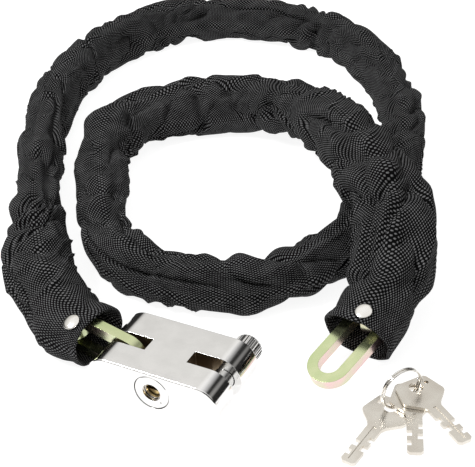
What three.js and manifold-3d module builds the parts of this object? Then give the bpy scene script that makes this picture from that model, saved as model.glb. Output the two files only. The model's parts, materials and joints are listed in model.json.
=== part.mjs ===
// Chain lock: a square-link chain in a woven sleeve, joined at one end to a push-bolt
// padlock body, with three flat keys on a split ring. Millimetres, +Z up.
//
// Frame: the origin is the centre of the lock body's underside, which lies on z = 0.
// +X points to the locking bolt's end of the body, -Y is the key face, +Y is the back.

import * as THREE from 'three';
import { mergeVertices } from 'three/addons/utils/BufferGeometryUtils.js';
import Module from 'manifold-3d';

const wasm = await Module();
wasm.setup();

// ---------------------------------------------------------------- driving dimensions

// Lock body: a bar of stadium section, its flat faces up and down, slotted at both ends.
const BODY_WIDTH = 70;
const BODY_DEPTH = 40;
const BODY_HEIGHT = 22;
const BODY_EDGE = 0.5;
const SLOT_FRONT = -5.2;
const SLOT_BACK = 3.2;
const SLOT_INNER_X = 11.3;

// Fixed pin that holds the first link, and the locking bolt that takes the last one.
const PIN_X = -24;
const PIN_RADIUS = 4.8;
const PIN_FRONT = -13;
const PIN_BACK = 13.2;
const BOLT_X = 26;
const BOLT_RADIUS = 5.1;
const BOLT_TIP = -13.4;
const KNOB_RADIUS = 7;
const KNOB_LENGTH = 9.6;
const KNOB_TEETH = 26;

// Key cylinder: a fixed housing with a turning core, three discs and a cam pin behind.
const HOUSING_RADIUS = 9;
const HOUSING_BACK = 7.6;
const CORE_RADIUS = 6.9;
const KEYHOLE_RADIUS = 4;
const DISC_THICKNESS = 2.2;
const DISC_PITCH = 4.6;
const CAM_THROW = 2.2;
const CAM_PIN_RADIUS = 1.2;
const CAM_SLOT_WIDTH = 3.9;
const LATCH_FRONT = 9.4;
const LATCH_THICKNESS = 3;
const LATCH_HALF_HEIGHT = 3;

// Chain: square wire links, alternately upright and flat, and the sleeve over them.
const LINK_COUNT = 40;
const WIRE = 5.4;
const LINK_OUTER_RADIUS = 11;
const LINK_INNER_RADIUS = LINK_OUTER_RADIUS - WIRE;
const LINK_INNER_LENGTH = 39.2;
const LINK_PLAY = 2.5;
const LAST_LINK_DROP = 0.3;
const SLEEVE_HALF_WIDTH = 16.5;
const SLEEVE_HALF_HEIGHT = 13.6;
const SLEEVE_CORNER = 10;
const SLEEVE_WALL = 1;
const SLEEVE_STEPS = 62;
const CHAIN_SAG = 0.6;
const RIVET_RADIUS = 4.3;

// Key and split ring.
const KEY_THICKNESS = 1.7;
const KEY_HOLE_RADIUS = 3.3;
const RING_RADIUS = 10.6;
const RING_WIRE = 1;
const RING_PITCH = 1.3;
const RING_CENTRE = [103.3, 29.3, 11.4];
const RING_AZIMUTH = 61.6;

const GAP = 0.3;
const MID_Z = BODY_HEIGHT / 2;
const HALF_DEPTH = BODY_DEPTH / 2;
const SLOT_MIDDLE = (SLOT_FRONT + SLOT_BACK) / 2;
const Z_AXIS = new THREE.Vector3(0, 0, 1);

// The sleeve's centreline, from the mouth beside the lock, round the outer turn, under
// the last stretch, round the inner turn and over the outer one to the free mouth.
const LYING = SLEEVE_HALF_HEIGHT + GAP;
const SLEEVE_ROUTE = [
  [-42.5, 2, LYING], [-62, 7.3, LYING], [-88, 26, LYING], [-124, 69, LYING],
  [-154, 114, LYING], [-184, 168, LYING], [-204, 217, LYING],
  [-210, 262, LYING], [-203, 304, LYING], [-182, 334, LYING], [-149, 350, LYING],
  [-110, 358, LYING], [-69, 354, LYING], [-38, 331, LYING], [-8, 296, LYING],
  [16, 257, LYING], [32, 213, LYING], [38, 172, LYING], [38, 140, LYING],
  [31, 109, LYING], [17, 81, LYING], [-5, 65, LYING], [-28, 58, LYING],
  [-54, 58, LYING], [-78, 73, LYING], [-108, 111, LYING], [-136, 158, LYING],
  [-141, 184, LYING], [-130, 208, LYING], [-110, 230, LYING],
  [-84, 242, 15], [-56, 240, 20], [-30, 224, 28.4], [-1, 196, 37.9],
  [25, 169, 42], [50, 142, 41.4], [66, 117, 36.5], [72, 98, 31],
  [75, 77, 20.8], [72, 53.5, LYING],
];
// The free link's tip, on the surface that the lock lies on.
const FREE_TIP = [62.5, 27, WIRE / 2 + GAP];

// ---------------------------------------------------------------- solids and booleans

// A manifold-3d solid from a closed three.js geometry.
function toSolid(geometry) {
  const plain = geometry.clone();
  plain.deleteAttribute('normal');
  plain.deleteAttribute('uv');
  const merged = mergeVertices(plain, 1e-4);
  return new wasm.Manifold(new wasm.Mesh({
    numProp: 3,
    vertProperties: new Float32Array(merged.attributes.position.array),
    triVerts: new Uint32Array(merged.index.array),
  }));
}

// A three.js geometry from a manifold-3d solid.
function toGeometry(solid) {
  const mesh = solid.getMesh();
  const geometry = new THREE.BufferGeometry();
  geometry.setAttribute('position', new THREE.BufferAttribute(mesh.vertProperties, 3));
  geometry.setIndex(new THREE.BufferAttribute(mesh.triVerts, 1));
  return geometry;
}

// The first geometry joined with the added ones, kept inside the within ones and less
// the cut ones.
function carve(base, { add = [], within = [], cut = [] }) {
  let solid = toSolid(base);
  for (const geometry of add) solid = solid.add(toSolid(geometry));
  for (const geometry of within) solid = solid.intersect(toSolid(geometry));
  for (const geometry of cut) solid = solid.subtract(toSolid(geometry));
  return toGeometry(solid);
}

function box(x0, x1, y0, y1, z0, z1) {
  const geometry = new THREE.BoxGeometry(x1 - x0, y1 - y0, z1 - z0);
  return geometry.translate((x0 + x1) / 2, (y0 + y1) / 2, (z0 + z1) / 2);
}

// A round bar along Y, from y0 to y1, on the axis through (x, z).
function barY(radius, y0, y1, x, z, sides = 24) {
  const geometry = new THREE.CylinderGeometry(radius, radius, y1 - y0, sides);
  return geometry.translate(x, (y0 + y1) / 2, z);
}

// A turned piece on the axis along Y through (x, z), from [radius, y] points.
function turnedY(profile, x, z, sides = 28) {
  const points = profile.map(([radius, y]) => new THREE.Vector2(radius, y));
  return new THREE.LatheGeometry(points, sides).translate(x, 0, z);
}

// A closed outline of width 2 * halfWidth with round ends of the given radius, along X.
function stadium(Outline, halfWidth, radius) {
  const outline = new Outline();
  const end = halfWidth - radius;
  outline.absarc(end, 0, radius, -Math.PI / 2, Math.PI / 2, false);
  outline.absarc(-end, 0, radius, Math.PI / 2, (Math.PI * 3) / 2, false);
  outline.closePath();
  return outline;
}

// A rectangle with round corners, as a plain list of points, two steps to each corner.
function roundedRectangle(Outline, halfX, halfY, radius) {
  const points = [];
  for (let corner = 0; corner < 4; corner += 1) {
    const start = (corner * Math.PI) / 2;
    const centreX = (halfX - radius) * Math.sign(Math.cos(start + Math.PI / 4));
    const centreY = (halfY - radius) * Math.sign(Math.sin(start + Math.PI / 4));
    for (let step = 0; step <= 2; step += 1) {
      const angle = start + (step * Math.PI) / 4;
      const x = centreX + radius * Math.cos(angle);
      const y = centreY + radius * Math.sin(angle);
      points.push(new THREE.Vector2(x, y));
    }
  }
  return new Outline(points);
}

// ---------------------------------------------------------------- materials

function metal(colour, roughness) {
  return new THREE.MeshStandardMaterial({ color: colour, roughness, metalness: 1 });
}

const CHROME = metal(0xdedcd8, 0.12);
const STEEL = metal(0xb9b9b6, 0.3);
const ZINC = metal(0xc3c893, 0.3);
const BRASS = metal(0xc9a860, 0.35);
const NICKEL = metal(0xcfc8ba, 0.3);
const WEAVE = new THREE.MeshStandardMaterial({ color: 0x141416, roughness: 0.9, metalness: 0 });

const group = new THREE.Group();

function place(name, geometry, material, parent = group) {
  const mesh = new THREE.Mesh(geometry, material);
  mesh.name = name;
  parent.add(mesh);
  return mesh;
}

// ---------------------------------------------------------------- lock body

// A bar of stadium section along Y with its end edges broken by BODY_EDGE.
function bodyBlank() {
  const outline = stadium(THREE.Shape, BODY_WIDTH / 2, MID_Z);
  const blank = new THREE.ExtrudeGeometry(outline, {
    depth: BODY_DEPTH - 2 * BODY_EDGE,
    curveSegments: 18,
    bevelEnabled: true,
    bevelThickness: BODY_EDGE,
    bevelSize: BODY_EDGE,
    bevelOffset: -BODY_EDGE,
    bevelSegments: 1,
  });
  blank.rotateX(Math.PI / 2);
  return blank.translate(0, HALF_DEPTH - BODY_EDGE, MID_Z);
}

function lockBody() {
  const beyond = 1;
  const slots = [-1, 1].map((side) => {
    const ends = [side * SLOT_INNER_X, side * (BODY_WIDTH / 2 + beyond)];
    return box(Math.min(...ends), Math.max(...ends), SLOT_FRONT, SLOT_BACK,
      -beyond, BODY_HEIGHT + beyond);
  });
  const pinHole = barY(PIN_RADIUS + GAP, PIN_FRONT - GAP, HALF_DEPTH + beyond, PIN_X, MID_Z);
  const boltHole = barY(BOLT_RADIUS + GAP, BOLT_TIP - GAP, HALF_DEPTH + beyond, BOLT_X, MID_Z);
  const cylinderHole = barY(HOUSING_RADIUS + GAP, -HALF_DEPTH - beyond,
    LATCH_FRONT + LATCH_THICKNESS + GAP, 0, MID_Z, 48);
  const latchChannel = box(0, BOLT_X, LATCH_FRONT - GAP, LATCH_FRONT + LATCH_THICKNESS + GAP,
    MID_Z - LATCH_HALF_HEIGHT - GAP, MID_Z + LATCH_HALF_HEIGHT + GAP);
  const setScrewHole = new THREE.CylinderGeometry(1.5, 1.5, 6, 16).rotateX(Math.PI / 2)
    .translate(0, 3, 0);
  return carve(bodyBlank(), {
    cut: [...slots, pinHole, boltHole, cylinderHole, latchChannel, setScrewHole],
  });
}

place('lock_body', lockBody(), CHROME);
place('link_pin', barY(PIN_RADIUS, PIN_FRONT, PIN_BACK, PIN_X, MID_Z), STEEL);
place('link_pin_plug', barY(PIN_RADIUS, PIN_BACK + GAP, HALF_DEPTH - GAP, PIN_X, MID_Z), CHROME);

// ---------------------------------------------------------------- locking bolt and knob

function boltShank() {
  const neck = BOLT_RADIUS - CAM_THROW - 2 * GAP;
  const grooveFront = LATCH_FRONT - GAP;
  const grooveBack = LATCH_FRONT + LATCH_THICKNESS + GAP;
  const shankBack = HALF_DEPTH + KNOB_LENGTH - 3;
  return turnedY([
    [0, BOLT_TIP], [BOLT_RADIUS - 1, BOLT_TIP], [BOLT_RADIUS, BOLT_TIP + 1],
    [BOLT_RADIUS, grooveFront], [neck, grooveFront], [neck, grooveBack],
    [BOLT_RADIUS, grooveBack], [BOLT_RADIUS, shankBack], [0, shankBack],
  ], BOLT_X, MID_Z);
}

// A knurled cap: straight teeth round its side, with a blind bore for the shank.
function knob() {
  const outline = new THREE.Shape();
  const step = (2 * Math.PI) / KNOB_TEETH;
  for (let tooth = 0; tooth < KNOB_TEETH; tooth += 1) {
    [[0.1, -0.4], [0.35, 0], [0.65, 0], [0.9, -0.4]].forEach(([part, depth], corner) => {
      const angle = (tooth + part) * step;
      const radius = KNOB_RADIUS + depth;
      const move = tooth + corner === 0 ? 'moveTo' : 'lineTo';
      outline[move](radius * Math.cos(angle), radius * Math.sin(angle));
    });
  }
  outline.closePath();
  const front = HALF_DEPTH + GAP;
  const back = front + KNOB_LENGTH;
  const toothed = new THREE.ExtrudeGeometry(outline, { depth: KNOB_LENGTH, bevelEnabled: false });
  toothed.rotateX(-Math.PI / 2).translate(BOLT_X, front, MID_Z);
  const wide = KNOB_RADIUS + 0.2;
  const rounded = turnedY([
    [0, front], [wide - 1, front], [wide, front + 1], [wide, back - 1.6],
    [wide - 0.6, back - 0.6], [wide - 1.8, back], [0, back],
  ], BOLT_X, MID_Z);
  const shankBack = HALF_DEPTH + KNOB_LENGTH - 3;
  const bore = barY(BOLT_RADIUS + GAP, HALF_DEPTH, shankBack + GAP, BOLT_X, MID_Z);
  return carve(toothed, { within: [rounded], cut: [bore] });
}

place('locking_bolt', boltShank(), STEEL);
place('bolt_knob', knob(), CHROME);

// ---------------------------------------------------------------- key cylinder

// The fixed housing: a tube closed at the key face but for the keyhole.
function cylinderHousing() {
  const front = -HALF_DEPTH + 0.1;
  const bore = CORE_RADIUS + GAP;
  const tube = turnedY([
    [KEYHOLE_RADIUS + 0.7, front], [HOUSING_RADIUS - 0.3, front], [HOUSING_RADIUS, front + 0.3],
    [HOUSING_RADIUS, HOUSING_BACK], [bore, HOUSING_BACK], [bore, front + 1.6],
    [KEYHOLE_RADIUS + 0.7, front + 1.6], [KEYHOLE_RADIUS + 0.7, front],
  ], 0, MID_Z, 48);
  const witnessMark = barY(0.5, front - 1, front + 0.6, 4.6, MID_Z - 4.6, 12);
  const screwSeat = new THREE.CylinderGeometry(1.5, 1.5, 2, 16).rotateX(Math.PI / 2)
    .translate(0, 3, MID_Z - HOUSING_RADIUS);
  return carve(tube, { cut: [witnessMark, screwSeat] });
}

// The turning core: a cup for the discs, with an off-centre cam pin on its back.
function core() {
  const front = -HALF_DEPTH + 2;
  const inside = CORE_RADIUS - 1.1;
  const floor = HOUSING_BACK - 4;
  const back = HOUSING_BACK + 1.3;
  const cup = turnedY([
    [KEYHOLE_RADIUS, front], [CORE_RADIUS, front], [CORE_RADIUS, HOUSING_BACK - 0.6],
    [4.5, HOUSING_BACK - 0.6], [4.5, back], [0, back], [0, floor], [inside, floor],
    [inside, front + 1.2], [KEYHOLE_RADIUS, front + 1.2], [KEYHOLE_RADIUS, front],
  ], 0, MID_Z);
  const camPin = barY(CAM_PIN_RADIUS, back - 0.5, LATCH_FRONT + LATCH_THICKNESS - 0.2,
    0, MID_Z + CAM_THROW, 16);
  return carve(cup, { add: [camPin] });
}

// A detainer disc with a keyway for the flat blade and a gate cut in its rim.
function detainerDisc(index) {
  const front = -HALF_DEPTH + 3.8 + index * DISC_PITCH;
  const back = front + DISC_THICKNESS;
  const keyway = box(-3.8, 3.8, front - 1, back + 1, MID_Z - 1.3, MID_Z + 1.3);
  const gate = box(-0.8, 0.8, front - 1, back + 1, MID_Z + 4.4, MID_Z + 6);
  return carve(barY(CORE_RADIUS - 1.5, front, back, 0, MID_Z), { cut: [keyway, gate] });
}

// An open spring clip that keeps the core in its housing.
function coreClip() {
  const outer = 6.6;
  const inner = 4.8;
  const open = 0.5;
  const outline = new THREE.Shape();
  outline.absarc(0, 0, outer, open, 2 * Math.PI - open, false);
  outline.absarc(0, 0, inner, 2 * Math.PI - open, open, true);
  outline.closePath();
  const clip = new THREE.ExtrudeGeometry(outline, {
    depth: 0.7, bevelEnabled: false, curveSegments: 12,
  });
  return clip.rotateX(-Math.PI / 2).translate(0, HOUSING_BACK + GAP, MID_Z);
}

function setScrew() {
  const screw = new THREE.CylinderGeometry(1.2, 1.2, 2.2, 16).rotateX(Math.PI / 2);
  return screw.translate(0, 3, 1.6);
}

place('cylinder_housing', cylinderHousing(), CHROME);
place('cylinder_set_screw', setScrew(), STEEL);
place('core', core(), NICKEL);
for (let index = 0; index < 3; index += 1) {
  place(`detainer_disc_${index + 1}`, detainerDisc(index), BRASS);
}
place('core_clip', coreClip(), STEEL);

// ---------------------------------------------------------------- latch

// A flat slide: the core's cam pin moves its slotted head, and its nose enters the
// groove round the locking bolt. Here it is drawn back, clear of the bolt.
function latch() {
  const y0 = LATCH_FRONT;
  const y1 = LATCH_FRONT + LATCH_THICKNESS;
  const nose = BOLT_X - BOLT_RADIUS - 2 * GAP;
  const head = box(-4.6, 4.6, y0, y1, MID_Z - 5, MID_Z + 6);
  const bar = box(0, nose, y0, y1, MID_Z - LATCH_HALF_HEIGHT, MID_Z + LATCH_HALF_HEIGHT);
  const camSlot = box(-CAM_SLOT_WIDTH / 2, CAM_SLOT_WIDTH / 2, y0 - 1, y1 + 1,
    MID_Z - 2, MID_Z + 4.6);
  return carve(head, { add: [bar], cut: [camSlot] });
}

place('latch', latch(), STEEL);

// ---------------------------------------------------------------- chain

// One link in its own XY plane, centred, its length along X.
function link(arcSteps) {
  const halfInside = LINK_INNER_LENGTH / 2;
  const outline = stadium(THREE.Shape, halfInside + WIRE, LINK_OUTER_RADIUS);
  outline.holes.push(stadium(THREE.Path, halfInside, LINK_INNER_RADIUS));
  const geometry = new THREE.ExtrudeGeometry(outline, {
    depth: WIRE, curveSegments: arcSteps, bevelEnabled: false,
  });
  return geometry.translate(0, 0, -WIRE / 2);
}

// Rotation that lays a link's length along a direction, its plane upright or flat.
function linkTurn(direction, upright) {
  const along = direction.clone().normalize();
  const side = new THREE.Vector3().crossVectors(Z_AXIS, along).normalize();
  const above = new THREE.Vector3().crossVectors(along, side);
  const across = upright ? above : side;
  const normal = new THREE.Vector3().crossVectors(along, across);
  const basis = new THREE.Matrix4().makeBasis(along, across, normal);
  return new THREE.Quaternion().setFromRotationMatrix(basis);
}

// The next point on the curve at a straight distance from the last one.
function stepAlong(curve, from, startAt, distance) {
  const fine = 0.0002;
  let at = startAt;
  while (at < 1 && curve.getPointAt(at).distanceTo(from) < distance) at += fine;
  return [curve.getPointAt(Math.min(at, 1)), at];
}

const UPRIGHT_SPAN = LINK_INNER_LENGTH + WIRE;
const FLAT_SPAN = LINK_INNER_LENGTH - WIRE - 2 * LINK_PLAY;
const FIRST_YAW = (6.4 * Math.PI) / 180;
const FIRST_RISE = 4;

// Where the upright links' round ends hold the flat links, from the lock outwards.
function chainJoints() {
  const pin = new THREE.Vector3(PIN_X, SLOT_MIDDLE, MID_Z);
  const reach = UPRIGHT_SPAN - LINK_INNER_RADIUS - WIRE / 2;
  const first = new THREE.Vector3(-Math.cos(FIRST_YAW), Math.sin(FIRST_YAW), FIRST_RISE / reach);
  const start = pin.clone().addScaledVector(first.normalize(), reach);
  const inside = SLEEVE_ROUTE.slice(1).map(([x, y, z]) => new THREE.Vector3(x, y, z - CHAIN_SAG));
  const curve = new THREE.CatmullRomCurve3([start, ...inside, new THREE.Vector3(...FREE_TIP)]);
  curve.arcLengthDivisions = 2000;
  const joints = [start];
  let at = 0;
  for (let index = 1; index < LINK_COUNT - 1; index += 1) {
    const span = index % 2 === 1 ? FLAT_SPAN : UPRIGHT_SPAN;
    const [point, reached] = stepAlong(curve, joints[joints.length - 1], at, span);
    joints.push(point);
    at = reached;
  }
  return { pin, joints };
}

function placeLink(index, centre, direction, upright) {
  const inSight = index === 0 || index > LINK_COUNT - 3;
  const name = `chain_link_${String(index + 1).padStart(2, '0')}`;
  const mesh = place(name, link(inSight ? 14 : 5), ZINC);
  mesh.position.copy(centre);
  mesh.quaternion.copy(linkTurn(direction, upright));
}

function placeChain() {
  const { pin, joints } = chainJoints();
  const firstWay = joints[0].clone().sub(pin).normalize();
  const firstCentre = pin.clone().addScaledVector(firstWay, LINK_INNER_LENGTH / 2 - LINK_INNER_RADIUS);
  placeLink(0, firstCentre, firstWay, true);
  for (let index = 1; index < LINK_COUNT - 1; index += 1) {
    const [from, to] = [joints[index - 1], joints[index]];
    const centre = from.clone().add(to).multiplyScalar(0.5);
    placeLink(index, centre, to.clone().sub(from), index % 2 === 0);
  }
  const last = joints[joints.length - 1].clone();
  last.z -= LAST_LINK_DROP;
  const way = new THREE.Vector3(...FREE_TIP).sub(last).normalize();
  const offset = LINK_INNER_LENGTH / 2 - WIRE / 2 - LINK_PLAY;
  placeLink(LINK_COUNT - 1, last.clone().addScaledVector(way, offset), way, false);
}

placeChain();

// ---------------------------------------------------------------- sleeve and rivets

const sleeveCurve = new THREE.CatmullRomCurve3(
  SLEEVE_ROUTE.map(([x, y, z]) => new THREE.Vector3(x, y, z)),
);

// The sleeve's section: X runs up and down, Y runs across, as the sweep turns it.
function sleeveSection() {
  const section = roundedRectangle(THREE.Shape, SLEEVE_HALF_HEIGHT, SLEEVE_HALF_WIDTH, SLEEVE_CORNER);
  section.holes.push(roundedRectangle(THREE.Path, SLEEVE_HALF_HEIGHT - SLEEVE_WALL,
    SLEEVE_HALF_WIDTH - SLEEVE_WALL, SLEEVE_CORNER - SLEEVE_WALL));
  return section;
}

// The sleeve's two rivets: the sweep step and the share of it where each stands, which
// way is across, how far across and above the centreline, and its axis's rise in degrees.
const FACET_RISE = 67.5;
const FACET_APOTHEM = SLEEVE_CORNER * Math.cos(Math.PI / 8);
const RIVETS = [
  {
    name: 'rivet_lock_end',
    step: 0,
    share: 0.24,
    side: new THREE.Vector3(0, -1, 0),
    across: SLEEVE_HALF_WIDTH - SLEEVE_CORNER + FACET_APOTHEM * Math.cos((FACET_RISE * Math.PI) / 180),
    above: SLEEVE_HALF_HEIGHT - SLEEVE_CORNER + FACET_APOTHEM * Math.sin((FACET_RISE * Math.PI) / 180),
    rise: FACET_RISE,
  },
  {
    name: 'rivet_free_end',
    step: SLEEVE_STEPS - 1,
    share: 0.74,
    side: new THREE.Vector3(1, 0, 0),
    across: 2,
    above: SLEEVE_HALF_HEIGHT,
    rise: 90,
  },
];

// A matrix that stands a rivet on the sleeve's outer face.
function rivetFrame({ step, share, side, across, above, rise }) {
  const frames = sleeveCurve.computeFrenetFrames(SLEEVE_STEPS, false);
  const between = (list) => list[step].clone().lerp(list[step + 1], share);
  const up = between(frames.normals).normalize();
  if (up.z < 0) up.negate();
  const sideways = between(frames.binormals).normalize();
  if (sideways.dot(side) < 0) sideways.negate();
  const angle = (rise * Math.PI) / 180;
  const outwards = up.clone().multiplyScalar(Math.sin(angle));
  outwards.addScaledVector(sideways, Math.cos(angle));
  const origin = between(sleeveCurve.getSpacedPoints(SLEEVE_STEPS));
  origin.addScaledVector(sideways, across).addScaledVector(up, above);
  const spin = new THREE.Quaternion().setFromUnitVectors(new THREE.Vector3(0, 1, 0), outwards);
  return new THREE.Matrix4().compose(origin, spin, new THREE.Vector3(1, 1, 1));
}

// A hollow rivet: a domed head outside, a shank through the wall, a clinch inside.
function rivet() {
  const points = [
    [0, -SLEEVE_WALL - 1.3], [2.9, -SLEEVE_WALL - 1.3], [2.9, -SLEEVE_WALL - 2 * GAP],
    [1.7, -SLEEVE_WALL - 2 * GAP], [1.7, GAP], [RIVET_RADIUS, GAP], [RIVET_RADIUS, GAP + 0.4],
    [RIVET_RADIUS - 1.2, GAP + 1], [0, GAP + 1.2],
  ];
  return new THREE.LatheGeometry(points.map(([r, y]) => new THREE.Vector2(r, y)), 16);
}

function placeSleeve() {
  const tube = new THREE.ExtrudeGeometry(sleeveSection(), {
    steps: SLEEVE_STEPS, extrudePath: sleeveCurve, curveSegments: 1,
  });
  const frames = RIVETS.map(rivetFrame);
  const holes = frames.map((frame) => new THREE.CylinderGeometry(2, 2, 6, 12).applyMatrix4(frame));
  place('sleeve', carve(tube, { cut: holes }), WEAVE);
  RIVETS.forEach(({ name }, index) => {
    place(name, rivet(), NICKEL).applyMatrix4(frames[index]);
  });
}

placeSleeve();

// ---------------------------------------------------------------- keys and split ring

// A flat key with its ring hole at the origin and its blade along +X.
function key() {
  const outline = new THREE.Shape();
  outline.moveTo(-5.6, -6.5);
  outline.quadraticCurveTo(-5.2, -8, -3.6, -8.6);
  outline.lineTo(5.5, -11);
  outline.quadraticCurveTo(7.2, -11.2, 8.4, -10);
  outline.lineTo(13.2, -4.8);
  outline.lineTo(15.5, -3.6);
  outline.lineTo(22, -3.6);
  outline.lineTo(22, -1.7);
  outline.lineTo(25, -1.7);
  outline.lineTo(25, -3.6);
  outline.lineTo(28, -3.6);
  outline.lineTo(28, -1.2);
  outline.lineTo(31.5, -1.2);
  outline.lineTo(31.5, -3.6);
  outline.lineTo(38.8, -3.6);
  outline.lineTo(40, -2.4);
  outline.lineTo(40, 2.4);
  outline.lineTo(38.8, 3.6);
  outline.lineTo(35.5, 3.6);
  outline.lineTo(35.5, 1.6);
  outline.lineTo(32.5, 1.6);
  outline.lineTo(32.5, 3.6);
  outline.lineTo(29.5, 3.6);
  outline.lineTo(29.5, 1.2);
  outline.lineTo(26, 1.2);
  outline.lineTo(26, 3.6);
  outline.lineTo(15.5, 3.6);
  outline.lineTo(13.2, 4.8);
  outline.lineTo(8.4, 10);
  outline.quadraticCurveTo(7.2, 11.2, 5.5, 11);
  outline.lineTo(-3.6, 8.6);
  outline.quadraticCurveTo(-5.2, 8, -5.6, 6.5);
  outline.closePath();
  const ringHole = new THREE.Path();
  ringHole.absarc(0, 0, KEY_HOLE_RADIUS, 0, 2 * Math.PI, false);
  const sideHole = new THREE.Path();
  sideHole.absarc(-0.6, 6.1, 1.1, 0, 2 * Math.PI, false);
  outline.holes.push(ringHole, sideHole);
  const flat = new THREE.ExtrudeGeometry(outline, {
    depth: KEY_THICKNESS, bevelEnabled: false, curveSegments: 10,
  });
  const mill = (side) => {
    const z0 = side > 0 ? KEY_THICKNESS - 0.4 : -0.2;
    return box(15, 38, -0.7, 0.7, z0, z0 + 0.6);
  };
  return carve(flat, { cut: [mill(1), mill(-1)] });
}

// Two turns of wire side by side, in the XZ plane.
class RingCurve extends THREE.Curve {
  getPoint(t, target = new THREE.Vector3()) {
    const angle = 4 * Math.PI * t;
    const x = RING_RADIUS * Math.cos(angle);
    const z = RING_RADIUS * Math.sin(angle);
    return target.set(x, (2 * t - 1) * RING_PITCH, z);
  }
}

function ring() {
  const section = new THREE.Shape();
  section.absarc(0, 0, RING_WIRE / 2, 0, 2 * Math.PI, false);
  return new THREE.ExtrudeGeometry(section, {
    steps: 48, extrudePath: new RingCurve(), curveSegments: 4,
  });
}

// Each key: its ring hole's distance from the ring's middle along the ring's plane, its
// underside's height there, its blade's direction in degrees and its fall towards the
// tip in radians, and which face is up.
const KEYS = [
  { name: 'key_top', along: 9.3, base: 5.6, azimuth: -36, slope: 0.02, flipped: false },
  { name: 'key_middle', along: 7.9, base: 3.55, azimuth: -68, slope: 0, flipped: true },
  { name: 'key_bottom', along: -5.6, base: 1.55, azimuth: -97, slope: 0.03, flipped: true },
];

function placeKeys() {
  const turn = THREE.MathUtils.degToRad(RING_AZIMUTH);
  const ringMesh = place('split_ring', ring(), NICKEL);
  ringMesh.position.set(...RING_CENTRE);
  ringMesh.rotation.z = turn;
  for (const { name, along, base, azimuth, slope, flipped } of KEYS) {
    const geometry = key();
    if (flipped) geometry.rotateX(Math.PI).translate(0, 0, KEY_THICKNESS);
    const holder = new THREE.Group();
    holder.position.set(RING_CENTRE[0] + along * Math.cos(turn),
      RING_CENTRE[1] + along * Math.sin(turn), base);
    holder.rotation.z = THREE.MathUtils.degToRad(azimuth);
    const mesh = place(name, geometry, NICKEL, holder);
    mesh.rotation.y = slope;
    group.add(holder);
  }
}

placeKeys();

export default group;
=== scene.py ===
"""Looks for the chain lock: woven sleeve, plated chain, chromed lock body and nickel keys.

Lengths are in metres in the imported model's frame unless a comment says millimetres. The
order below is: sizes, camera, shaders and materials, sleeve, metal pieces, stage.
"""

import json
import math

import bmesh
import bpy
import numpy as np
from mathutils import Matrix, Vector, noise
from mathutils.bvhtree import BVHTree


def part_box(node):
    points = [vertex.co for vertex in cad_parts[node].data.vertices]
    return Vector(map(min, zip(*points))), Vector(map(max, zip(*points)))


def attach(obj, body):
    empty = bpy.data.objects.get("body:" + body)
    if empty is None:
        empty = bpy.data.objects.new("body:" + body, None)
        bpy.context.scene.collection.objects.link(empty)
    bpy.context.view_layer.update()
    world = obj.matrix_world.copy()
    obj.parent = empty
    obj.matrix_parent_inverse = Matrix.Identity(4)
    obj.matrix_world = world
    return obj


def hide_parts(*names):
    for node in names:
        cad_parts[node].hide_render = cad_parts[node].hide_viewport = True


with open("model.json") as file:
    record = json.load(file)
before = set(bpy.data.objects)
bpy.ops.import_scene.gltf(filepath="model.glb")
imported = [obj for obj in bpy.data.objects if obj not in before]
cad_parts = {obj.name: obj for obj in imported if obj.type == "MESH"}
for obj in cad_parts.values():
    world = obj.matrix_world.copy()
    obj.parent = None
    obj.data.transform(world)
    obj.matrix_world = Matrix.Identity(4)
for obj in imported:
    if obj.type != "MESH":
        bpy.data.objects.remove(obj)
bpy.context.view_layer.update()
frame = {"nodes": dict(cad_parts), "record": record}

MM = 0.001
UP = Vector((0, 0, 1))

# ---------------------------------------------------------------- driving dimensions

CAMERA_PLACE = (0.25814, -0.39942, 0.40514)
CAMERA_AZIMUTH = math.radians(28.78)
CAMERA_ELEVATION = math.radians(34.0)
CAMERA_ROLL = math.radians(-3.01)
CAMERA_LENS = 98.5

# The sleeve's centreline, the same points as in the CAD source.
LYING = 0.0139
SLEEVE_ROUTE = [
    (-0.0425, 0.002, LYING), (-0.062, 0.0073, LYING), (-0.088, 0.026, LYING),
    (-0.124, 0.069, LYING), (-0.154, 0.114, LYING), (-0.184, 0.168, LYING),
    (-0.204, 0.217, LYING), (-0.210, 0.262, LYING), (-0.203, 0.304, LYING),
    (-0.182, 0.334, LYING), (-0.149, 0.350, LYING), (-0.110, 0.358, LYING),
    (-0.069, 0.354, LYING), (-0.038, 0.331, LYING), (-0.008, 0.296, LYING),
    (0.016, 0.257, LYING), (0.032, 0.213, LYING), (0.038, 0.172, LYING),
    (0.038, 0.140, LYING), (0.031, 0.109, LYING), (0.017, 0.081, LYING),
    (-0.005, 0.065, LYING), (-0.028, 0.058, LYING), (-0.054, 0.058, LYING),
    (-0.078, 0.073, LYING), (-0.108, 0.111, LYING), (-0.136, 0.158, LYING),
    (-0.141, 0.184, LYING), (-0.130, 0.208, LYING), (-0.110, 0.230, LYING),
    (-0.084, 0.242, 0.015), (-0.056, 0.240, 0.020), (-0.030, 0.224, 0.0284),
    (-0.001, 0.196, 0.0379), (0.025, 0.169, 0.042), (0.050, 0.142, 0.0414),
    (0.066, 0.117, 0.0365), (0.072, 0.098, 0.031), (0.075, 0.077, 0.0208),
    (0.072, 0.0535, LYING),
]
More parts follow.
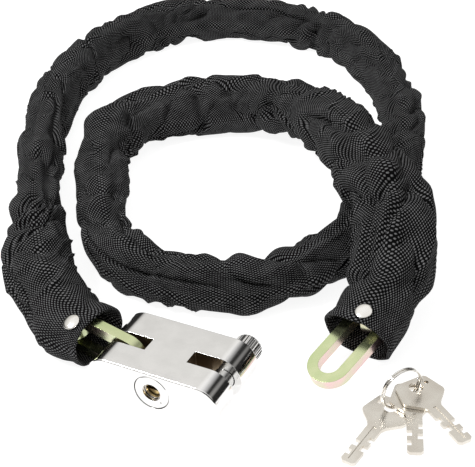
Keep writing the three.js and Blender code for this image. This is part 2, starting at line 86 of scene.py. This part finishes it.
# Half the cloth's width, in millimetres, at points along the sleeve: slack at both ends
# and round the tight inner turn, drawn close to the chain between them.
SLEEVE_WIDTHS = [
    (0, 15), (20, 16.5), (85, 16), (135, 12.5), (225, 11.5), (300, 13), (400, 12),
    (500, 13.5), (600, 13.5), (680, 11.5), (800, 12), (900, 13.5), (1050, 14), (1095, 18),
    (1135, 20), (1170, 18.5), (1210, 17.5), (1300, 18.5), (1390, 19), (1430, 17),
]
SLEEVE_DIAMETER = 36 * MM
SLEEVE_HALF_HEIGHT = 12.6 * MM
SLEEVE_SQUARENESS = 2.7
SLEEVE_WALL = 1.6 * MM
SLEEVE_INSIDE = 45 * MM
RING_SPACING = 1.5 * MM
RING_POINTS = 112
# How far out the chain inside is looked for, and the cloth's distance over it.
CHAIN_REACH = 16 * MM
CHAIN_COVER = 1.1 * MM
# Big folds: how far along in millimetres, the angle round from the left-hand side in
# degrees, how far each reaches along and round, and how far it stands out.
BIG_FOLDS = [
    (72, 0, 22, 70, 4.5), (22, -20, 12, 60, 3), (1150, 190, 40, 70, 6), (1330, 170, 40, 60, 2.5),
    (840, 180, 30, 70, -3), (960, 180, 30, 60, -3), (430, 180, 22, 60, -3),
]
# The small folds: the length along the sleeve of each kind, and its height in millimetres.
WANDER_LENGTH = 60 * MM
PUFF_LENGTH, PUFF_HEIGHT = 41 * MM, 4.4
UNEVEN_LENGTH, UNEVEN_HEIGHT = 35 * MM, 2.2
VALLEY_LENGTH, VALLEY_HEIGHT, VALLEY_WIDTH = 40 * MM, 3.8, 0.2
RIDGE_LENGTH, RIDGE_HEIGHT, RIDGE_WIDTH = 28 * MM, 1.8, 0.22
FINE_LENGTH, FINE_HEIGHT = 10 * MM, 0.3
PLEAT_LENGTH, PLEAT_HEIGHT = 26 * MM, 4.6
# In millimetres: how far the valleys lie below the even section, how far any fold may
# stand above it, and how much wider the cloth is at its mouths.
FOLD_SINK = 3.0
FOLD_LIMIT = 4.5
MOUTH_FLARE = 1.0
# The weave's dashes: their spacing round the tube and along it, in millimetres.
DASH_ACROSS = 1.7
DASH_ALONG = 2.4

# The slots in the lock body: their middle plane, how far from it their walls are looked
# for, and where the painted brown reflection and shade on those walls gives way to chrome.
SLOT_MIDDLE = -1 * MM
SLOT_REACH = 4.4 * MM
SLOT_PAINT_END = 20 * MM

CHROME_TONES = ((0.86, 0.85, 0.84), (0.93, 0.92, 0.91))
WHITE = (1, 1, 1)

# ---------------------------------------------------------------- camera


def make_camera():
    data = bpy.data.cameras.new("camera")
    data.sensor_width = 36
    data.lens = CAMERA_LENS
    data.clip_start = 0.01
    data.clip_end = 50
    camera = bpy.data.objects.new("camera", data)
    bpy.context.scene.collection.objects.link(camera)
    turn = Matrix.Rotation(CAMERA_AZIMUTH, 4, "Z")
    turn @= Matrix.Rotation(math.pi / 2 - CAMERA_ELEVATION, 4, "X")
    turn @= Matrix.Rotation(CAMERA_ROLL, 4, "Z")
    camera.matrix_world = Matrix.Translation(CAMERA_PLACE) @ turn
    bpy.context.scene.camera = camera


# ---------------------------------------------------------------- shader nodes


class Nodes:
    """A node tree whose nodes are added in a line or two each."""

    def __init__(self, tree):
        self.tree = tree

    def node(self, kind, settings=None, **inputs):
        """A node with its settings and inputs; an input is a constant or an output."""
        made = self.tree.nodes.new(kind)
        for key, value in (settings or {}).items():
            setattr(made, key, value)
        for key, value in inputs.items():
            name = key.replace("_", " ")
            index = int(key[1:]) if key[0] == "i" and key[1:].isdigit() else name
            if isinstance(value, bpy.types.NodeSocket):
                self.tree.links.new(value, made.inputs[index])
            else:
                made.inputs[index].default_value = value
        return made

    def math(self, operation, first, second=0.0):
        return self.node("ShaderNodeMath", {"operation": operation}, i0=first, i1=second).outputs[0]

    def ramp(self, factor, *stops):
        """A colour ramp from (position, colour) stops."""
        made = self.node("ShaderNodeValToRGB", Fac=factor)
        elements = made.color_ramp.elements
        while len(elements) < len(stops):
            elements.new(0.5)
        for element, (position, colour) in zip(elements, stops):
            element.position = position
            element.color = (*colour, 1)
        return made.outputs["Color"]

    def mix(self, factor, first, second, blend="MIX"):
        settings = {"data_type": "RGBA", "blend_type": blend}
        made = self.node("ShaderNodeMix", settings, Factor=factor)
        for index, value in ((6, first), (7, second)):
            if isinstance(value, bpy.types.NodeSocket):
                self.tree.links.new(value, made.inputs[index])
            else:
                made.inputs[index].default_value = (*value, 1)
        return made.outputs[2]


class Shader(Nodes):
    """A material's node tree round one principled surface."""

    def __init__(self, name, metallic=0.0, roughness=0.5, colour=(0.8, 0.8, 0.8)):
        self.material = bpy.data.materials.new(name)
        self.material.use_nodes = True
        super().__init__(self.material.node_tree)
        self.surface = self.tree.nodes["Principled BSDF"]
        self.surface.inputs["Metallic"].default_value = metallic
        self.surface.inputs["Roughness"].default_value = roughness
        self.surface.inputs["Base Color"].default_value = (*colour, 1)

    def noise(self, scale, detail):
        place = self.node("ShaderNodeTexCoord").outputs["Object"]
        made = self.node("ShaderNodeTexNoise", Vector=place, Scale=scale, Detail=detail)
        return made.outputs["Fac"]

    def set(self, name, value):
        self.tree.links.new(value, self.surface.inputs[name])

    def bump(self, height, distance):
        made = self.node("ShaderNodeBump", Height=height, Distance=distance, Strength=1.0)
        self.set("Normal", made.outputs["Normal"])


# ---------------------------------------------------------------- materials


def plated(name, tones, roughness, spread, grain, bump):
    """Bright metal whose tone and gloss vary softly over it, with a fine grain."""
    shader = Shader(name, metallic=1.0, roughness=roughness)
    cloud = shader.noise(90, 3)
    low, high = tones
    shader.set("Base Color", shader.ramp(cloud, (0.35, low), (0.65, high)))
    fine = shader.noise(grain, 4)
    gloss = shader.node(
        "ShaderNodeMapRange", Value=fine, To_Min=roughness - spread, To_Max=roughness + spread
    )
    shader.set("Roughness", gloss.outputs["Result"])
    shader.bump(fine, bump)
    return shader.material


def chrome():
    return plated("chrome", CHROME_TONES, 0.1, 0.02, 900, 4e-6)


def chrome_with_painted_slot_walls():
    """Chrome on the body's outside; on the walls of its slots, a painted brown reflection and shade
    with rougher gloss.
    """
    shader = Shader("chrome_with_painted_slot_walls", metallic=1.0)
    place = shader.node("ShaderNodeTexCoord")
    split = shader.node("ShaderNodeSeparateXYZ", Vector=place.outputs["Object"])
    across, depth = split.outputs["X"], split.outputs["Y"]
    upright = shader.node("ShaderNodeSeparateXYZ", Vector=place.outputs["Normal"]).outputs["Z"]
    from_middle = shader.math("ABSOLUTE", shader.math("SUBTRACT", depth, SLOT_MIDDLE))
    near = shader.math("LESS_THAN", from_middle, SLOT_REACH)
    wall = shader.math("LESS_THAN", shader.math("ABSOLUTE", upright), 0.5)
    inner = shader.math("LESS_THAN", across, SLOT_PAINT_END)
    inside = shader.math("MULTIPLY", shader.math("MULTIPLY", near, wall), inner)
    cloud = shader.noise(90, 3)
    low, high = CHROME_TONES
    outer = shader.ramp(cloud, (0.35, low), (0.65, high))
    # painted reflection and shade: the slot walls get a dark brown base colour in place of chrome
    painted_wall_reflection = shader.ramp(cloud, (0.35, (0.2, 0.15, 0.1)), (0.65, (0.34, 0.28, 0.2)))
    shader.set("Base Color", shader.mix(inside, outer, painted_wall_reflection))
    fine = shader.noise(900, 4)
    gloss = shader.math("ADD", shader.math("MULTIPLY", fine, 0.04), 0.08)
    shader.set("Roughness", shader.math("ADD", shader.math("MULTIPLY", inside, 0.25), gloss))
    shader.bump(fine, 4e-6)
    return shader.material


def steel():
    return plated("steel", ((0.7, 0.7, 0.69), (0.82, 0.82, 0.81)), 0.2, 0.05, 1400, 8e-6)


def nickel():
    return plated("nickel", ((0.7, 0.65, 0.58), (0.8, 0.76, 0.69)), 0.27, 0.05, 1500, 1e-5)


def bright_nickel():
    return plated("bright_nickel", ((0.78, 0.75, 0.7), (0.9, 0.88, 0.84)), 0.12, 0.03, 900, 4e-6)


def brass():
    return plated("brass", ((0.6, 0.45, 0.2), (0.78, 0.62, 0.32)), 0.3, 0.06, 1200, 1e-5)


def zinc():
    """Passivated zinc: yellow-green on broad faces, drifting to pink at the sides."""
    shader = Shader("zinc", metallic=1.0, roughness=0.24)
    drift = shader.noise(55, 3)
    greens = shader.ramp(drift, (0.3, (0.5, 0.6, 0.3)), (0.7, (0.74, 0.76, 0.48)))
    pinks = shader.ramp(drift, (0.4, (0.82, 0.6, 0.58)), (0.62, (0.66, 0.72, 0.46)))
    normal = shader.node("ShaderNodeNewGeometry").outputs["Normal"]
    upright = shader.node("ShaderNodeSeparateXYZ", Vector=normal).outputs["Z"]
    facing = shader.node("ShaderNodeMapRange", Value=upright, From_Min=0.2, From_Max=0.75)
    shader.set("Base Color", shader.mix(facing.outputs["Result"], pinks, greens))
    fine = shader.noise(1300, 4)
    gloss = shader.node("ShaderNodeMapRange", Value=fine, To_Min=0.18, To_Max=0.3)
    shader.set("Roughness", gloss.outputs["Result"])
    shader.bump(fine, 1e-5)
    return shader.material


def weave():
    """Black nylon cloth: rows of short yarn floats, each row half a float on from the last, with
    painted light grey highlights on the floats.
    """
    shader = Shader("weave", roughness=0.8)
    shader.surface.inputs["Specular IOR Level"].default_value = 0.06
    sheet = shader.node("ShaderNodeUVMap").outputs["UV"]
    place = shader.node("ShaderNodeSeparateXYZ", Vector=sheet)
    rows = shader.math("MULTIPLY", place.outputs["Y"], 2 * math.pi / DASH_ALONG)
    columns = shader.math("MULTIPLY", place.outputs["X"], 2 * math.pi / DASH_ACROSS)
    floats = shader.math("MULTIPLY", shader.math("COSINE", rows), shader.math("COSINE", columns))
    # painted highlight: the floats' tops are coloured light grey, patchily, as if lit
    highlight_patchiness = shader.math("MULTIPLY", shader.noise(140, 3), 0.7)
    level = shader.math("ADD", floats, highlight_patchiness)
    painted_float_highlights = shader.ramp(level, (0.5, (0.002, 0.002, 0.0022)), (0.95, (0.17, 0.17, 0.173)))
    shader.set("Base Color", painted_float_highlights)
    shader.bump(floats, 0.3 * MM)
    return shader.material


# ---------------------------------------------------------------- sleeve


def smooth_route(points, spacing):
    """Points at an even spacing on a centripetal Catmull-Rom curve through the given ones."""
    given = [Vector(point) for point in points]
    given = [2 * given[0] - given[1], *given, 2 * given[-1] - given[-2]]
    fine = []
    for before, start, end, after in zip(given, given[1:], given[2:], given[3:]):
        gaps = [math.sqrt((b - a).length) for a, b in ((before, start), (start, end), (end, after))]
        leave = (start - before) / gaps[0] - (end - before) / (gaps[0] + gaps[1])
        leave = (leave + (end - start) / gaps[1]) * gaps[1]
        arrive = (end - start) / gaps[1] - (after - start) / (gaps[1] + gaps[2])
        arrive = (arrive + (after - end) / gaps[2]) * gaps[1]
        for step in range(40):
            t = step / 40
            fine.append(
                start * (2 * t**3 - 3 * t**2 + 1)
                + leave * (t**3 - 2 * t**2 + t)
                + end * (3 * t**2 - 2 * t**3)
                + arrive * (t**3 - t**2)
            )
    fine.append(given[-2])
    line = np.array([list(point) for point in fine])
    travelled = np.concatenate([[0], np.cumsum(np.linalg.norm(np.diff(line, axis=0), axis=1))])
    even = np.linspace(0, travelled[-1], round(travelled[-1] / spacing) + 1)
    return np.stack([np.interp(even, travelled, line[:, axis]) for axis in range(3)], axis=1)


def ramp_up(value, low, high):
    """0 below the low value, 1 above the high one and a smooth rise between them."""
    share = min(1.0, max(0.0, (value - low) / (high - low)))
    return share * share * (3 - 2 * share)


def chain_surface():
    """The surface of all the chain links together."""
    vertices, faces = [], []
    for name, node in frame["nodes"].items():
        if name.startswith("chain_link"):
            start = len(vertices)
            vertices += [vertex.co.copy() for vertex in node.data.vertices]
            faces += [[start + at for at in polygon.vertices] for polygon in node.data.polygons]
    return BVHTree.FromPolygons(vertices, faces)


def cloth_noise(along, around, spread):
    """Noise by place along the tube and way round it, so that it joins up all round."""
    return noise.noise(Vector((along, *(spread * around))))


def crease(value, width):
    """1 along a line where the noise value passes through nought, falling to 0."""
    return max(0.0, 1 - abs(value) / width) ** 1.3


def puffs(travelled, around, wander):
    """Rounded swellings with tight waists between them, on an uneven ground."""
    puff = abs(math.sin(math.pi * (travelled / PUFF_LENGTH + 1.1 * wander))) ** 0.6
    uneven = cloth_noise(travelled / UNEVEN_LENGTH + 7, around, 0.9)
    fine = cloth_noise(travelled / FINE_LENGTH, around, 2.2)
    return PUFF_HEIGHT * puff - FOLD_SINK + UNEVEN_HEIGHT * uneven + FINE_HEIGHT * fine


def creases(travelled, angle, around, wander):
    """Sharp valleys that slant one way round the tube, and ridges that slant the other."""
    slant = travelled / VALLEY_LENGTH + 1.5 * wander + 0.7 * math.sin(angle + travelled / 0.07)
    lean = travelled / RIDGE_LENGTH - 1.4 * wander + 0.9 * math.cos(angle - travelled / 0.05)
    valley = crease(cloth_noise(slant, around, 0.7), VALLEY_WIDTH)
    ridge = crease(cloth_noise(lean + 30, around, 0.8), RIDGE_WIDTH)
    return RIDGE_HEIGHT * ridge - VALLEY_HEIGHT * valley


def gathers(travelled, wander, crowding):
    """Pleats where the cloth is crowded on the inside of a bend."""
    pleat = abs(math.sin(math.pi * (travelled / PLEAT_LENGTH + wander))) ** 0.6
    return ramp_up(crowding, 0.05, 0.5) * (PLEAT_HEIGHT * pleat - FOLD_SINK)


def big_folds(travelled, angle):
    total = 0.0
    for middle, side, reach, spread, height in BIG_FOLDS:
        apart = (travelled / MM - middle) / reach
        turned = (math.degrees(angle) - side + 180) % 360 - 180
        total += height * math.exp(-(apart**2) - (turned / spread) ** 2)
    return total


class Sleeve:
    """The crumpled tube: its centreline, and how far its surface stands from it."""

    def __init__(self):
        self.line = smooth_route(SLEEVE_ROUTE, RING_SPACING)
        self.length = RING_SPACING * (len(self.line) - 1)
        steps = np.gradient(self.line, axis=0)
        self.along = steps / np.linalg.norm(steps, axis=1, keepdims=True)
        turning = np.gradient(self.along, axis=0) / RING_SPACING
        window = np.ones(15) / 15
        self.turning = np.stack(
            [np.convolve(turning[:, axis], window, mode="same") for axis in range(3)], axis=1
        )
        self.chain = chain_surface()
        self.offsets = self.drape()

    def folds(self, index, angle, outwards):
        """How far, in millimetres, the cloth stands out from its even section."""
        travelled = index * RING_SPACING
        around = Vector((math.cos(angle), math.sin(angle)))
        wander = cloth_noise(travelled / WANDER_LENGTH, around, 0.6)
        crowding = outwards.dot(Vector(self.turning[index])) * 50 * MM
        total = puffs(travelled, around, wander)
        total += creases(travelled, angle, around, wander)
        total += gathers(travelled, wander, crowding)
        from_mouth = min(travelled, self.length - travelled)
        total *= 0.25 + 0.75 * ramp_up(from_mouth, 15 * MM, 35 * MM)
        total += big_folds(travelled, angle)
        return min(FOLD_LIMIT, total) + MOUTH_FLARE * (1 - ramp_up(from_mouth, 0, 12 * MM))

    def section(self, index):
        """The cloth's offsets from the centreline at a ring, one for each angle."""
        along = Vector(self.along[index])
        across = UP.cross(along).normalized()
        above = along.cross(across)
        half_width = np.interp(index * RING_SPACING / MM, *zip(*SLEEVE_WIDTHS)) * MM
        power = 2 / SLEEVE_SQUARENESS
        middle = Vector(self.line[index])
        offsets, covers = [], []
        for step in range(RING_POINTS):
            angle = 2 * math.pi * step / RING_POINTS
            x = math.copysign(abs(math.cos(angle)) ** power, math.cos(angle)) * half_width
            z = math.copysign(abs(math.sin(angle)) ** power, math.sin(angle)) * SLEEVE_HALF_HEIGHT
            offset = across * x + above * z
            outwards = offset.normalized()
            offsets.append(offset + outwards * self.folds(index, angle, outwards) * MM)
            met = self.chain.ray_cast(middle + outwards * CHAIN_REACH, -outwards, CHAIN_REACH)
            covers.append(CHAIN_REACH - met[3] + CHAIN_COVER if met[0] else 0.0)
        return offsets, covers

    def drape(self):
        """Every ring's offsets, pushed out where a chain link would show through."""
        sections = [self.section(index) for index in range(len(self.line))]
        covers = np.array([covers for _, covers in sections])
        reached = covers.copy()
        nearby = range(-3, 4)
        for shift in nearby:
            for turn in nearby:
                moved = np.roll(np.roll(covers, shift, axis=0), turn, axis=1)
                fall = 0.1 * MM * (abs(shift) + abs(turn))
                reached = np.maximum(reached, moved - fall)
        offsets = [offsets for offsets, _ in sections]
        for ring, row in zip(offsets, reached):
            for step, cover in enumerate(row):
                if ring[step].length < cover:
                    ring[step] = ring[step].normalized() * cover
        return offsets

    def point(self, index, step, inset, beyond):
        """A place on the cloth, drawn in from its outer face or out beyond the mouth."""
        offset = self.offsets[index][step]
        place = Vector(self.line[index]) + offset - offset.normalized() * inset
        place += Vector(self.along[index]) * beyond
        place.z = max(place.z, 0.5 * MM)
        return place

    def rings(self):
        """(ring on the line, inset from the outer face, distance beyond the mouth)."""
        last = len(self.line) - 1
        deep = round(SLEEVE_INSIDE / RING_SPACING)
        lip = [
            (SLEEVE_WALL / 2 * (1 + math.cos(turn)), SLEEVE_WALL / 2 * math.sin(turn))
            for turn in np.linspace(0, math.pi, 7)[1:-1]
        ]
        inner = [(index, SLEEVE_WALL, 0.0) for index in range(deep, -1, -1)]
        first = [(0, inset, -beyond) for inset, beyond in lip]
        outer = [(index, 0.0, 0.0) for index in range(last + 1)]
        final = [(last, inset, beyond) for inset, beyond in reversed(lip)]
        back = [(last - index, SLEEVE_WALL, 0.0) for index in range(deep + 1)]
        return inner + first + outer + final + back

    def build(self):
        rings = self.rings()
        vertices = [
            self.point(ring[0], step, *ring[1:]) for ring in rings for step in range(RING_POINTS)
        ]
        faces = []
        for row in range(len(rings) - 1):
            for step in range(RING_POINTS):
                following = (step + 1) % RING_POINTS
                near, far = row * RING_POINTS, (row + 1) * RING_POINTS
                faces.append((near + step, near + following, far + following, far + step))
        mesh = bpy.data.meshes.new("sleeve_cloth")
        mesh.from_pydata(vertices, [], faces)
        mesh.polygons.foreach_set("use_smooth", [True] * len(faces))
        self.lay_out(mesh, rings)
        return mesh

    def lay_out(self, mesh, rings):
        """UVs in millimetres of cloth: round the tube, and along it."""
        whole = round(math.pi * SLEEVE_DIAMETER / MM / DASH_ACROSS) * DASH_ACROSS
        travelled, place = [], 0.0
        for before, ring in zip([rings[0], *rings], rings):
            steps = abs(ring[0] - before[0]) * RING_SPACING
            place += max(steps, abs(ring[1] - before[1]) + abs(ring[2] - before[2])) / MM
            travelled.append(place)
        layer = mesh.uv_layers.new(name="cloth")
        for polygon in mesh.polygons:
            row, step = divmod(polygon.index, RING_POINTS)
            corners = ((row, step), (row, step + 1), (row + 1, step + 1), (row + 1, step))
            for loop, (ring, turn) in zip(polygon.loop_indices, corners):
                layer.data[loop].uv = (turn / RING_POINTS * whole, travelled[ring])


def add(name, mesh, material, body, *nodes, slot=None):
    """A shown piece that rides on a body and stands for CAD nodes."""
    piece = bpy.data.objects.new(name, mesh)
    bpy.context.scene.collection.objects.link(piece)
    mesh.materials.clear()
    mesh.materials.append(material)
    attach(piece, body)
    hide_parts(*nodes)
    return piece


def make_sleeve(material):
    sleeve = Sleeve()
    piece = add("sleeve_cloth", sleeve.build(), material, "chain", "sleeve", slot="weave")


# ---------------------------------------------------------------- metal pieces


def softened(node, width, segments=3, sharp=30):
    """A copy of a CAD node's mesh with its hard edges rounded."""
    mesh = frame["nodes"][node].data.copy()
    shape = bmesh.new()
    shape.from_mesh(mesh)
    bmesh.ops.remove_doubles(shape, verts=shape.verts, dist=1e-6)
    bmesh.ops.dissolve_limit(
        shape, angle_limit=math.radians(1), verts=shape.verts, edges=shape.edges
    )
    hard = [
        edge
        for edge in shape.edges
        if len(edge.link_faces) == 2 and edge.calc_face_angle() > math.radians(sharp)
    ]
    bmesh.ops.bevel(
        shape,
        geom=hard,
        offset=width,
        offset_type="OFFSET",
        segments=segments,
        profile=0.5,
        affect="EDGES",
        clamp_overlap=True,
    )
    for face in shape.faces:
        face.smooth = True
    for edge in shape.edges:
        edge.smooth = len(edge.link_faces) == 2 and edge.calc_face_angle() < math.radians(sharp)
    shape.to_mesh(mesh)
    shape.free()
    return mesh


def soften(name, node, width, material, body, slot, segments=3):
    piece = add(name, softened(node, width, segments), material, body, node, slot=slot)
    normals = piece.modifiers.new("even_normals", "WEIGHTED_NORMAL")
    normals.keep_sharp = True
    return piece


def ring_mesh():
    """Two turns of round wire side by side, fitted to the CAD ring's box."""
    low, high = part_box("split_ring")
    centre = (low + high) / 2
    plane = Vector((high.x - low.x, high.y - low.y, 0)).normalized()
    across = UP.cross(plane)
    wire = 0.5 * MM
    radius = (high.z - low.z) / 2 - wire
    pitch = 1.3 * MM
    turns, steps, sides = 2, 120, 12
    vertices = []
    for step in range(steps + 1):
        angle = 2 * math.pi * turns * step / steps
        spoke = plane * math.cos(angle) + UP * math.sin(angle)
        middle = centre + spoke * radius + across * pitch * (2 * step / steps - 1)
        for side in range(sides):
            around = 2 * math.pi * side / sides
            vertices.append(middle + (spoke * math.cos(around) + across * math.sin(around)) * wire)
    faces = []
    for step in range(steps):
        for side in range(sides):
            near, far, following = step * sides, (step + 1) * sides, (side + 1) % sides
            faces.append((near + side, far + side, far + following, near + following))
    faces.append(tuple(range(sides)))
    faces.append(tuple(reversed(range(steps * sides, (steps + 1) * sides))))
    mesh = bpy.data.meshes.new("ring_wire")
    mesh.from_pydata(vertices, [], faces)
    mesh.polygons.foreach_set("use_smooth", [True] * len(faces))
    return mesh


def dress_metal():
    shine, turned, plate = chrome(), steel(), zinc()
    satin, bright, yellow = nickel(), bright_nickel(), brass()
    finishes = {
        "chrome": shine, "steel": turned, "zinc": plate, "nickel": satin, "brass": yellow,
    }
    for entry in frame["record"]["subparts"]:
        finish = finishes.get(entry["material_slot"])
        if finish:
            mesh = frame["nodes"][entry["node"]].data
            mesh.materials.clear()
            mesh.materials.append(finish)
    soften("body_shell", "lock_body", 0.45 * MM, chrome_with_painted_slot_walls(), "lock", "chrome")
    soften("cylinder_face", "cylinder_housing", 0.15 * MM, shine, "lock", "chrome")
    soften("knurled_knob", "bolt_knob", 0.12 * MM, shine, "bolt", "chrome", segments=2)
    soften("bolt", "locking_bolt", 0.3 * MM, turned, "bolt", "steel")
    soften("first_link", "chain_link_01", 1.1 * MM, plate, "chain", "zinc")
    soften("second_link", "chain_link_02", 1.1 * MM, plate, "chain", "zinc")
    soften("last_held_link", "chain_link_39", 1.1 * MM, plate, "chain", "zinc")
    soften("end_link", "chain_link_40", 1.1 * MM, plate, "end_link", "zinc")
    soften("rivet_left", "rivet_lock_end", 0.2 * MM, bright, "chain", "nickel")
    soften("rivet_right", "rivet_free_end", 0.2 * MM, bright, "chain", "nickel")
    for key in ("key_top", "key_middle", "key_bottom"):
        soften(f"{key}_blank", key, 0.15 * MM, satin, key, "nickel", segments=2)
    add("ring_wire", ring_mesh(), bright, "key_ring", "split_ring", slot="nickel")


# ---------------------------------------------------------------- stage


def make_floor():
    mesh = bpy.data.meshes.new("floor")
    reach = 12
    corners = [(-reach, -reach, 0), (reach, -reach, 0), (reach, reach, 0), (-reach, reach, 0)]
    mesh.from_pydata(corners, [], [(0, 1, 2, 3)])
    floor = bpy.data.objects.new("floor", mesh)
    bpy.context.scene.collection.objects.link(floor)
    shader = Shader("floor", roughness=1.0, colour=(0.3, 0.3, 0.3))
    shader.surface.inputs["Specular IOR Level"].default_value = 0
    shader.surface.inputs["Emission Color"].default_value = (1, 1, 1, 1)
    shader.surface.inputs["Emission Strength"].default_value = 0.9
    mesh.materials.append(shader.material)


def greys(*stops):
    """Ramp stops of slightly warm grey, from (position, value) pairs."""
    return [(position, (value, value * 0.995, value * 0.98)) for position, value in stops]


def make_world():
    """White overhead, dark round the horizon and on the right, plain white to the camera."""
    world = bpy.data.worlds.new("studio")
    world.use_nodes = True
    bpy.context.scene.world = world
    nodes = Nodes(world.node_tree)
    direction = nodes.node("ShaderNodeTexCoord").outputs["Generated"]
    split = nodes.node("ShaderNodeSeparateXYZ", Vector=direction)
    height, sideways = split.outputs["Z"], split.outputs["X"]
    sky = greys((0.0, 0.75), (0.03, 0.02), (0.36, 0.03), (0.5, 0.62), (0.8, 1.0))
    flag = greys((0.44, 1.0), (0.56, 0.04), (0.72, 0.04), (0.84, 0.8))
    rightwards = nodes.math("ADD", nodes.math("MULTIPLY", sideways, 0.5), 0.5)
    shaded = nodes.mix(1.0, nodes.ramp(height, *sky), nodes.ramp(rightwards, *flag), "MULTIPLY")
    overhead = nodes.ramp(height, *greys((0.68, 0.0), (0.8, 1.0)))
    seen = nodes.node("ShaderNodeLightPath").outputs["Is Camera Ray"]
    whole = nodes.mix(seen, nodes.mix(overhead, shaded, WHITE), WHITE)
    nodes.tree.links.new(whole, nodes.tree.nodes["Background"].inputs["Color"])


def make_light(name, place, target, size, power):
    data = bpy.data.lights.new(name, "AREA")
    data.shape = "DISK"
    data.size = size
    data.energy = power
    light = bpy.data.objects.new(name, data)
    bpy.context.scene.collection.objects.link(light)
    light.location = place
    aim = Vector(target) - Vector(place)
    light.rotation_euler = aim.to_track_quat("-Z", "Y").to_euler()


def make_stage():
    make_floor()
    make_world()
    make_light("key", (-0.55, -0.35, 0.9), (0, 0.15, 0), 0.35, 7)
    bpy.context.scene.view_settings.view_transform = "Standard"


make_camera()
dress_metal()
make_sleeve(weave())
make_stage()
